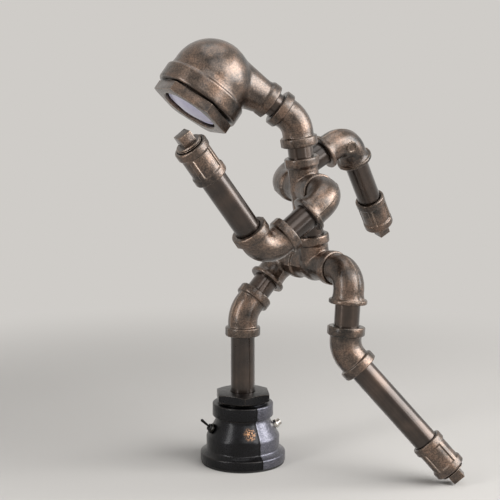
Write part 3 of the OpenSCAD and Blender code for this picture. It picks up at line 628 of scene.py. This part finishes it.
coupling = {
    "length": 32, "body": 25, "band": 27.5, "bandWidth": 7, "foot": 0.4, "ribWidth": 4, "ribRise": 1.15,
    "ribDepth": 4, "ribEnd": 4, "ribEdge": 0.5, "voxel": 0.4, "smoothing": 2,
}
plug = {
    "bead": 2.6, "beadStep": 1.6, "lap": 0.2, "square": 11, "head": 8.5, "corner": 1.1,
    "edge": 0.35, "pitch": 1.3, "threadDepth": 0.75, "smoothAngle": 30,
}


# Hands and foot are a ribbed coupling with a square-headed plug in its end
def couplingModel():
    length, rim, body, edge = coupling["length"], coupling["band"] / 2, coupling["body"] / 2, casting["edge"]
    band, ribDepth = coupling["bandWidth"], coupling["ribDepth"]
    half = (arcPoints(edge, rim - edge, edge, 180, 90) + arcPoints(band - edge, rim - edge, edge, 90, 20)
            + [(band + coupling["foot"], body)])
    parts = [turnedModel(half + mirrored(half, length))]
    for angle in (45, 135, 225, 315):
        rib = blockModel(turn(angle) @ shift(body + coupling["ribRise"] - ribDepth / 2, 0, length / 2),
                         (ribDepth, coupling["ribWidth"], length - 2 * coupling["ribEnd"]))
        applyModifier(rib, "BEVEL", width=coupling["ribEdge"], segments=2)
        parts.append(rib)
    piece = castTogether(parts, coupling["voxel"], coupling["smoothing"])
    socket, chamfer, depth = pipe["socket"] / 2, casting["mouthChamfer"], pipe["threadDepth"]
    half = [(-past, socket + chamfer + past), (chamfer, socket), (depth, socket), (depth, pipe["bore"] / 2)]
    combine(piece, turnedModel(half + mirrored(half, length)), "DIFFERENCE")
    smoothPiece(piece)
    return movedModel(piece, shift(0, 0, -length))


# Thread turns that show, as rings of the thread's pitch with a narrow crest
def threadPoints(start, end, radius, pitch, depth):
    turns = round((end - start) / pitch)
    step = (end - start) / turns
    points = []
    for low in [start + i * step for i in range(turns)]:
        points += [(low, radius - depth)] + [(low + step * share, radius) for share in threadCrest]
    return points + [(end, radius - depth)]


# Its square head hangs along -Z under the visible thread, from the coupling's end
def plugModel():
    bead, lap, square, tall = plug["bead"], plug["lap"], plug["square"], plug["head"] + overlap
    tip, end, chamfer = pipe["diameter"] / 2, pipe["threadDepth"] - pipe["endGap"], pipe["chamfer"]
    stem = turnedModel([(-bead, tip - plug["beadStep"])]
                       + threadPoints(-bead, lap, tip, plug["pitch"], plug["threadDepth"])
                       + [(lap, tip), (end - chamfer, tip), (end, tip - chamfer)])
    head = blockModel(shift(0, 0, tall / 2 - plug["head"] - bead), (square, square, tall))
    pickOnly(head)
    bpy.ops.object.mode_set(mode="EDIT")
    mesh = bmesh.from_edit_mesh(head.data)
    for edge in mesh.edges:  # the four upright edges
        edge.select_set(abs(edge.verts[0].co.z - edge.verts[1].co.z) > 1)
    bmesh.update_edit_mesh(head.data)
    bpy.ops.mesh.bevel(offset=plug["corner"], offset_type="OFFSET", segments=2, affect="EDGES")
    bpy.ops.object.mode_set(mode="OBJECT")
    applyModifier(head, "BEVEL", width=plug["edge"], segments=2, limit_method="ANGLE")
    combine(stem, head, "UNION")
    smoothPiece(stem, plug["smoothAngle"])
    return stem


sleeveModel, stopperModel = couplingModel(), plugModel()
for side, place, reach, body, nodes, plugTurn in [
        ("leftFoot", leftShinPlace, robot["leftShin"], "stand",
         ["left_foot", "left_toe_plug"], robot["toeTurn"]),
        ("leftHand", leftForearmPlace, robot["leftForearm"], "left_lower_arm",
         ["left_hand", "left_hand_plug"], 0),
        ("rightHand", rightForearmPlace, robot["rightForearm"], "right_lower_arm",
         ["right_hand", "right_hand_plug"], 0)]:
    placePiece(sleeveModel, side + "Coupling", place @ shift(0, 0, -reach), body, nodes[:1])
    plugPlace = place @ shift(0, 0, -reach - coupling["length"]) @ turn(plugTurn)
    placePiece(stopperModel, side + "Plug", plugPlace, body, nodes[1:])
dropModels(sleeveModel, stopperModel)
print("hands and foot made")


head = {
    "domeRadius": 34, "domeCentre": 15.5, "throat": 34.4,
    "throatRise": ((-1, -1.2), (1.5, -0.5), (4.5, -0.15)),
    "band": 73.2, "bandWidth": 14.3, "bandFoot": 1, "bandEdge": 1.6, "face": 37.3, "coneFrom": (4, 0, 6.3),
    "coneRoot": 23.3, "coneTip": 13.2, "collarFoot": 0.8, "collarRoot": 4, "collarFlash": 0.4, "cavity": 29,
    "seat": 23.1, "bigThread": 60.3, "mouthFlare": 2, "mouthClear": 20, "voxel": 0.6, "smoothing": 4,
    "blend": 90, "blendFrom": 3, "blendBelow": 1.5, "sides": 160, "coneSides": 128,
}
ringPart = {
    "flats": 61, "height": 8.8, "gap": 1, "turn": 18, "edge": 0.45, "endRadius": 32.5, "drop": 0.6,
    "thread": 13, "mouth": 48, "chamfer": 1, "pitch": 1.0, "threadRise": 0.5, "play": 0.15, "sides": 128,
    "smoothAngle": 26,
}
lens = {
    "diameter": 45, "edge": 43.6, "rise": 4.4, "rim": 1.0, "foot": (0.5, 0.2), "pole": 0.4, "steps": 12,
    "bead": ((-0.6, -0.4), (-0.2, 0), (0.3, 0), (0.6, -0.3)),
}


# A hexagon whose corners are turned off at both ends, as on a nut
def nutModel(part, low, high):
    corner, end = part["flats"] / 2 / math.cos(math.pi / 6), part["endRadius"]
    deselectAll()
    bpy.ops.mesh.primitive_cylinder_add(vertices=6, radius=corner, depth=high - low)
    piece = movedModel(bpy.context.object, shift(0, 0, (low + high) / 2) @ turn(30 + part["turn"]))
    applyModifier(piece, "BEVEL", width=part["edge"], segments=2, limit_method="ANGLE")
    reach = corner + overlap
    fall = part["drop"] * (reach - end) / (corner - end)
    cap = [(low - 0.01, end), (low + fall, reach), (high - fall, reach), (high + 0.01, end)]
    combine(piece, turnedModel(cap, part["sides"]), "INTERSECT")
    return piece


# The nut's thread from its first point to the root, with the turns that show between the seat and the nut
def addThread(piece, part, first, seat, low, tip):
    sunk, rise, plain = seat - overlap, part["threadRise"], 0.2
    points = first + [(sunk - plain, tip)] + threadPoints(sunk, low, tip, part["pitch"], rise)
    points += [(low + overlap, tip - rise)]
    combine(piece, turnedModel(points, part["sides"]), "UNION")


# A rounded body with a wide band, and a small collar behind it at the end of a cone
def headModel():
    face, edge, foot, centre = head["face"], head["bandEdge"], head["bandFoot"], head["domeCentre"]
    rim, throat, leg, width = head["band"] / 2, head["throat"], robot["headLeg"], casting["collarWidth"]
    back = face - head["bandWidth"]
    body = turnedModel(offsetPoints(centre, throat, head["throatRise"])
                       + [(back - foot, throat), (back, throat + foot)]
                       + arcPoints(back + edge, rim - edge, edge, 180, 90)
                       + arcPoints(face - edge, rim - edge, edge, 90, 0), head["sides"])
    dome = ballModel(head["domeRadius"], 128, centre)
    reach = Vector((leg - width / 2, 0, 0)) - Vector(head["coneFrom"])
    cone = turnedModel([(0, head["coneRoot"]), (reach.length, head["coneTip"])], head["coneSides"])
    movedModel(cone, shift(*head["coneFrom"]) @ reach.to_track_quat("Z", "Y").to_matrix().to_4x4())
    collarEnd = bandEnd(leg, casting["collar"], 2 * (head["coneTip"] + head["collarFoot"]))
    collar = turnedModel([(leg - width - head["collarRoot"], head["coneTip"])] + collarEnd[::-1],
                         flash=head["collarFlash"])
    piece = castTogether([body, dome, cone, movedModel(collar, lean(90))], head["voxel"], head["smoothing"])
    pickOnly(piece)
    bpy.ops.object.mode_set(mode="EDIT")
    skin = bmesh.from_edit_mesh(piece.data)
    for v in skin.verts:  # the cone runs into the dome without a corner
        v.select_set(v.co.z < back - head["blendBelow"]
                     and head["blendFrom"] < v.co.x < leg - width - head["blendFrom"])
    skin.select_flush_mode()
    bmesh.update_edit_mesh(piece.data)
    bpy.ops.mesh.vertices_smooth(factor=0.5, repeat=head["blend"])
    bpy.ops.object.mode_set(mode="OBJECT")
    hollow = ballModel(head["cavity"], 64, centre)
    mouth, wide = head["bigThread"] / 2, head["bigThread"] / 2 + head["mouthFlare"]
    combine(hollow, turnedModel([(head["seat"], mouth), (face - overlap, mouth), (face + overlap, wide),
                                 (face + head["mouthClear"], wide)], head["sides"]), "UNION")
    socket = turnedModel([(centre, pipe["bore"] / 2)] + socketWay(leg))
    combine(hollow, movedModel(socket, lean(90)), "UNION")
    combine(piece, hollow, "DIFFERENCE")
    smoothPiece(piece)
    return piece


# The hexagon ring that holds the lamp, with its thread down to the head's seat
def headRingModel():
    face, mouth, chamfer = head["face"], ringPart["mouth"] / 2, ringPart["chamfer"]
    low, threadEnd = face + ringPart["gap"], face - ringPart["thread"]
    high, tip = low + ringPart["height"], head["bigThread"] / 2 - ringPart["play"]
    piece = nutModel(ringPart, low, high)
    addThread(piece, ringPart, [(threadEnd, tip)], face, low, tip)
    combine(piece, turnedModel([(threadEnd - overlap, mouth), (high - chamfer, mouth),
                                (high + past, mouth + chamfer + past)], ringPart["sides"]), "DIFFERENCE")
    smoothPiece(piece, ringPart["smoothAngle"])
    return piece


def lensModel():
    radius, rise, edge = lens["diameter"] / 2, lens["rise"], lens["edge"]
    inner = radius - lens["rim"]
    ball = (inner ** 2 + rise ** 2) / (2 * rise)
    start = math.asin(inner / ball)
    turns = [start * (1 - i / lens["steps"]) for i in range(lens["steps"])]
    return turnedModel(offsetPoints(edge, radius, lens["bead"]) + offsetPoints(edge, inner, [lens["foot"]])
                       + [(edge + rise - ball + ball * math.cos(a), ball * math.sin(a)) for a in turns]
                       + [(edge + rise, lens["pole"])])


headPart, ringModel, lensPart = headModel(), headRingModel(), lensModel()
placePiece(headPart, "headBody", lampPlace, "head", ["head_elbow"])
placePiece(ringModel, "headRing", lampPlace, "head", ["head_ring"])
placePiece(lensPart, "lampLens", lampPlace, "head", ["lamp_lens"], frostedLens)
dropModels(headPart, ringModel, lensPart)
print("head made")


base = {
    "height": 54, "pad": 1.5, "foot": 38.3, "footTop": 10, "body": 33, "bodyTop": 25, "slopeTop": 39,
    "neck": 24.3, "topLow": 42, "top": 27.5, "edge": 1.3, "flare": 2, "wall": 3.6, "bore": 21.15,
    "bigThread": 30.15, "ridge": 0.5, "bodyRound": ((-1.5, 0), (0, -0.4), (1.2, -1.1)),
    "neckRound": ((-1, 0.7), (0.6, 0)), "topFoot": 0.6, "slopeMid": (28.65, 32), "slopeTilt": 58.14,
    "sides": 192,
}
bushing = {
    "flats": 45, "low": 56, "high": 64, "turn": 0, "edge": 0.5, "endRadius": 22.1, "drop": 1.2, "thread": 21.1,
    "threadLow": 42, "threadFoot": ((0, -0.6), (0.8, 0)), "pitch": 1.0, "threadRise": 0.5, "sides": 128,
    "smoothAngle": 26,
}
switch = {
    "turn": -15, "nut": 9, "nutHeight": 2.2, "nutEdges": (0.2, 0.6, 0.7), "nutMouth": 0.3, "neck": 5.9,
    "play": 0.05, "lever": 2.6, "leverLength": 10, "leverTilt": 12, "pivot": 2.4, "root": 1.6, "sides": 48,
    "leverSides": 32, "waistAt": 0.6, "waist": 0.84, "shoulderAt": 1.4, "shoulder": 0.98,
    "ball": ((-0.9, 0.44), (-0.5, 0.87), (0, 1), (0.5, 0.87), (0.9, 0.62)),  # in shares of the lever's radius
}
inlet = {
    "turn": 153, "flange": 8, "height": 3, "edges": (0.3, 0.8, 0.7), "neck": ((-0.7, 0.1), (0, -0.5)),
    "stem": 1, "hole": 4.6, "mouth": 0.5, "depth": 9, "sides": 64,
}
drillSpan = (-8, 4)  # through the wall of the base


# A place on the sloping side of the base, at an angle about its axis
def shoulderPlace(angle):
    return turn(angle) @ shift(base["slopeMid"][0], 0, base["slopeMid"][1]) @ lean(base["slopeTilt"])


def baseModel():
    edge, flare, sunk, low = base["edge"], base["flare"], base["ridge"], base["pad"]
    foot, body, neck, top = (base[k] - sunk for k in ("foot", "body", "neck", "top"))
    footTop, bodyTop, slopeTop = (base[k] for k in ("footTop", "bodyTop", "slopeTop"))
    topLow, high = base["topLow"], base["height"]
    outside = (arcPoints(low + edge, foot - edge, edge, 180, 90)
               + arcPoints(footTop - edge, foot - edge, edge, 90, 0)
               + arcPoints(footTop + 2 * flare, body + flare, flare, 225, 270)
               + offsetPoints(bodyTop, body, base["bodyRound"])
               + offsetPoints(slopeTop, neck, base["neckRound"])
               + [(topLow - base["topFoot"], neck)] + arcPoints(topLow + edge, top - edge, edge, 180, 90)
               + arcPoints(high - edge, top - edge, edge, 90, 0))
    wall, bore, thread = base["body"] - base["wall"], base["bore"], base["bigThread"]
    inside = [(high, bore), (slopeTop - overlap, bore), (bodyTop - overlap, wall), (footTop, wall),
              (footTop, thread), (low, thread)]
    piece = turnedModel(outside + inside + outside[:1], base["sides"], sunk, False)  # its flash is the ridge
    movedModel(piece, turn(ridgeLook["turn"]))
    for angle, radius in [(switch["turn"], switch["neck"] / 2 + switch["play"]),
                          (inlet["turn"], inlet["flange"] / 2 - inlet["stem"] + switch["play"])]:
        drill = turnedModel([(depth, radius) for depth in drillSpan], switch["sides"])
        combine(piece, movedModel(drill, shoulderPlace(angle)), "DIFFERENCE")
    smoothPiece(piece)
    return piece


def bushingModel():
    high, tip, threadLow = bushing["high"], bushing["thread"], bushing["threadLow"]
    piece = nutModel(bushing, bushing["low"], high)
    first = offsetPoints(threadLow, tip, bushing["threadFoot"])
    addThread(piece, bushing, first, base["height"], bushing["low"], tip)
    socket, bore, chamfer = pipe["socket"] / 2, pipe["bore"] / 2, casting["mouthChamfer"]
    seat = high - pipe["threadDepth"]
    combine(piece, turnedModel([(threadLow - overlap, bore), (seat, bore), (seat, socket),
                                (high - chamfer, socket),
                                (high + past, socket + chamfer + past)]), "DIFFERENCE")
    smoothPiece(piece, bushing["smoothAngle"])
    return piece


# The outside of a round flange, with its foot and its top broken
def flangePoints(outer, height, edges):
    foot, top, depth = edges
    return [(0, outer - foot), (foot, outer), (height - top, outer), (height, outer - depth)]


def switchNutModel():
    inner, height, mouth = switch["neck"] / 2 + switch["play"], switch["nutHeight"], switch["nutMouth"]
    outside = flangePoints(switch["nut"] / 2, height, switch["nutEdges"])
    return turnedModel(outside + [(height, inner + mouth), (height - mouth, inner), (0, inner)] + outside[:1],
                       switch["sides"], solid=False)


# A bat lever: thin at its root, thicker to its rounded end
def leverModel():
    tip, length = switch["lever"] / 2, switch["root"] + switch["leverLength"]
    points = [(tip * along, tip * out) for along, out in switch["ball"]]
    points += [(length * switch["waistAt"], tip * switch["waist"]),
               (length - tip * switch["shoulderAt"], tip * switch["shoulder"])]
    points += arcPoints(length - tip, 0, tip, 90, 15, 6)
    return movedModel(turnedModel(points, switch["leverSides"]),
                      shift(0, 0, switch["pivot"]) @ lean(-switch["leverTilt"]))


def inletModel():
    outer, hole, mouth, low = inlet["flange"] / 2, inlet["hole"] / 2, inlet["mouth"], -inlet["depth"]
    stem, top = outer - inlet["stem"], 2 * inlet["height"]
    outside = flangePoints(outer, inlet["height"], inlet["edges"])
    points = outside + offsetPoints(top, stem, inlet["neck"])
    points += [(top, hole + mouth), (top - mouth, hole), (low, hole), (low, stem), (0, stem)]
    return turnedModel(points + outside[:1], inlet["sides"], solid=False)


for model, name, place, body, node, slot, material in [
        (baseModel(), "baseBody", Matrix(), "stand", "base_reducer", "base_iron", blackCasting),
        (bushingModel(), "baseBushing", Matrix(), "stand", "base_bushing", "base_iron", blackCasting),
        (switchNutModel(), "switchNut", shoulderPlace(switch["turn"]), "stand", "switch_nut", "black_steel",
         blackSteel),
        (leverModel(), "switchLever", shoulderPlace(switch["turn"]), "lever", "switch_lever", "black_steel",
         blackSteel),
        (inletModel(), "cordInlet", shoulderPlace(inlet["turn"]), "stand", "cord_inlet", "bright_steel",
         nickelSteel)]:
    placePiece(model, name, place, body, [node], material)
    dropModels(model)
print("base made")


# These nodes keep their CAD shape and get their finish
for material, nodes in {
        padRubber: ["base_pad"], ivoryMoulding: ["terminal_block", "lamp_holder"],
        blackMoulding: ["switch_body"], lampShell: ["lamp_body"],
        leadSheath: ["stand_lead", "neck_lead", "head_lead", "switch_lead"],
        zincSteel: ["holder_cup", "holder_screws", "inlet_nut"]}.items():
    for node in nodes:
        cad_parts[node].data.materials.clear()
        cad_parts[node].data.materials.append(material)
print("finishes given to the nodes that stay")


studio = {
    "floor": "#c9c6c2", "floorRough": 0.9, "floorGloss": 0.2, "floorSize": 60, "backdrop": "#cfccc8",
    "roomLight": 0.12, "fade": (0.3, 0.75), "aim": (-0.03, 0.05, 0.19),
}
lamps = {  # where it stands from the robot's middle, the way its long side runs, length, width, power
    "keyLight": ((-1.04, 1.105, 0.71), (0.729, 0.684, 0), 2.4, 1.7, 10),
    "keyCore": ((-1.0, 1.07, 0.62), (0.729, 0.684, 0), 1.2, 1.1, 28),
    "frontLight": ((0.095, 1.127, 1.131), (1, -0.084, 0), 1.3, 1.0, 8),
    "topLight": ((0, 0, 0.85), (0.821, -0.571, 0), 0.55, 0.55, 1.6),
    "rightStrip": ((-0.18, 0.88, 0.3), (0, 0, 1), 0.8, 0.18, 1.6),
    "leftStrip": ((0.8, 0.0, 0.3), (0, 0, 1), 0.8, 0.18, 2.8),
}
view = {"spot": (0.5952, 0.8673, 0.3445), "forward": (-0.56477, -0.81239, -0.1451), "lens": 87.6, "sensor": 36}


# What the camera, gloss and glass see of the room: one pale tone, so that no line shows where the floor ends
def seenShare(tree):
    rays = addNode(tree, "LightPath").outputs
    gloss = addNode(tree, "Math", links={0: rays["Is Glossy Ray"], 1: rays["Is Transmission Ray"]},
                    operation="MAXIMUM")
    return addNode(tree, "Math", links={0: rays["Is Camera Ray"], 1: gloss}, operation="MAXIMUM")


# A matrix from where a lamp or camera stands and the three ways its own axes run
def standAt(spot, *axes):
    return shift(*spot) @ Matrix(axes).transposed().to_4x4()


deselectAll()
bpy.ops.mesh.primitive_plane_add(size=studio["floorSize"])
floor = bpy.context.object
floor.name = floor.data.name = "floor"
paper, tree, shader, spot = newMaterial("matt paper floor")  # it has no shine, so only soft shadows show on it
setSockets(tree, shader, {"Base Color": linear(studio["floor"]), "Roughness": studio["floorRough"],
                          "Specular IOR Level": studio["floorGloss"]}, {})
away = addNode(tree, "VectorMath", links={0: spot}, operation="LENGTH").outputs["Value"]
fade = addNode(tree, "MapRange", ends(studio["fade"]), {"Value": away}, interpolation_type="SMOOTHSTEP")
share = addNode(tree, "Math", links={0: fade, 1: seenShare(tree)}, operation="MULTIPLY")
pale = addNode(tree, "Emission", {"Color": linear(studio["backdrop"])})
both = addNode(tree, "MixShader", links={0: share, 1: shader, 2: pale})
setSockets(tree, tree.nodes["Material Output"], {}, {"Surface": both})
floor.data.materials.append(paper)

for name, (away, along, length, width, power) in lamps.items():
    light = bpy.data.lights.new(name, "AREA")
    light.shape, light.size, light.size_y, light.energy = "RECTANGLE", length, width, power
    lamp = bpy.data.objects.new(name, light)
    lamp.visible_camera = False
    bpy.context.collection.objects.link(lamp)
    facing = Vector(away).normalized()
    across = facing.cross(Vector(along)).normalized()
    lamp.matrix_world = standAt(Vector(studio["aim"]) + Vector(away), across.cross(facing), across, facing)

world = bpy.data.worlds.new("studio")
bpy.context.scene.world = world
world.use_nodes = True
tree = world.node_tree
room = tree.nodes["Background"]
setSockets(tree, room, {"Color": (1, 1, 1, 1), "Strength": studio["roomLight"]}, {})
pale = addNode(tree, "Background", {"Color": linear(studio["backdrop"])})
both = addNode(tree, "MixShader", links={0: seenShare(tree), 1: room, 2: pale})
setSockets(tree, tree.nodes["World Output"], {}, {"Surface": both})
bpy.context.scene.view_settings.view_transform = "Standard"

cameraData = bpy.data.cameras.new("camera")
cameraData.lens, cameraData.sensor_width = view["lens"], view["sensor"]
camera = bpy.data.objects.new("camera", cameraData)
bpy.context.collection.objects.link(camera)
forward = Vector(view["forward"]).normalized()
right = forward.cross(Vector((0, 0, 1))).normalized()
camera.matrix_world = standAt(view["spot"], right, right.cross(forward), -forward)
bpy.context.scene.camera = camera
print("floor, light and camera set")
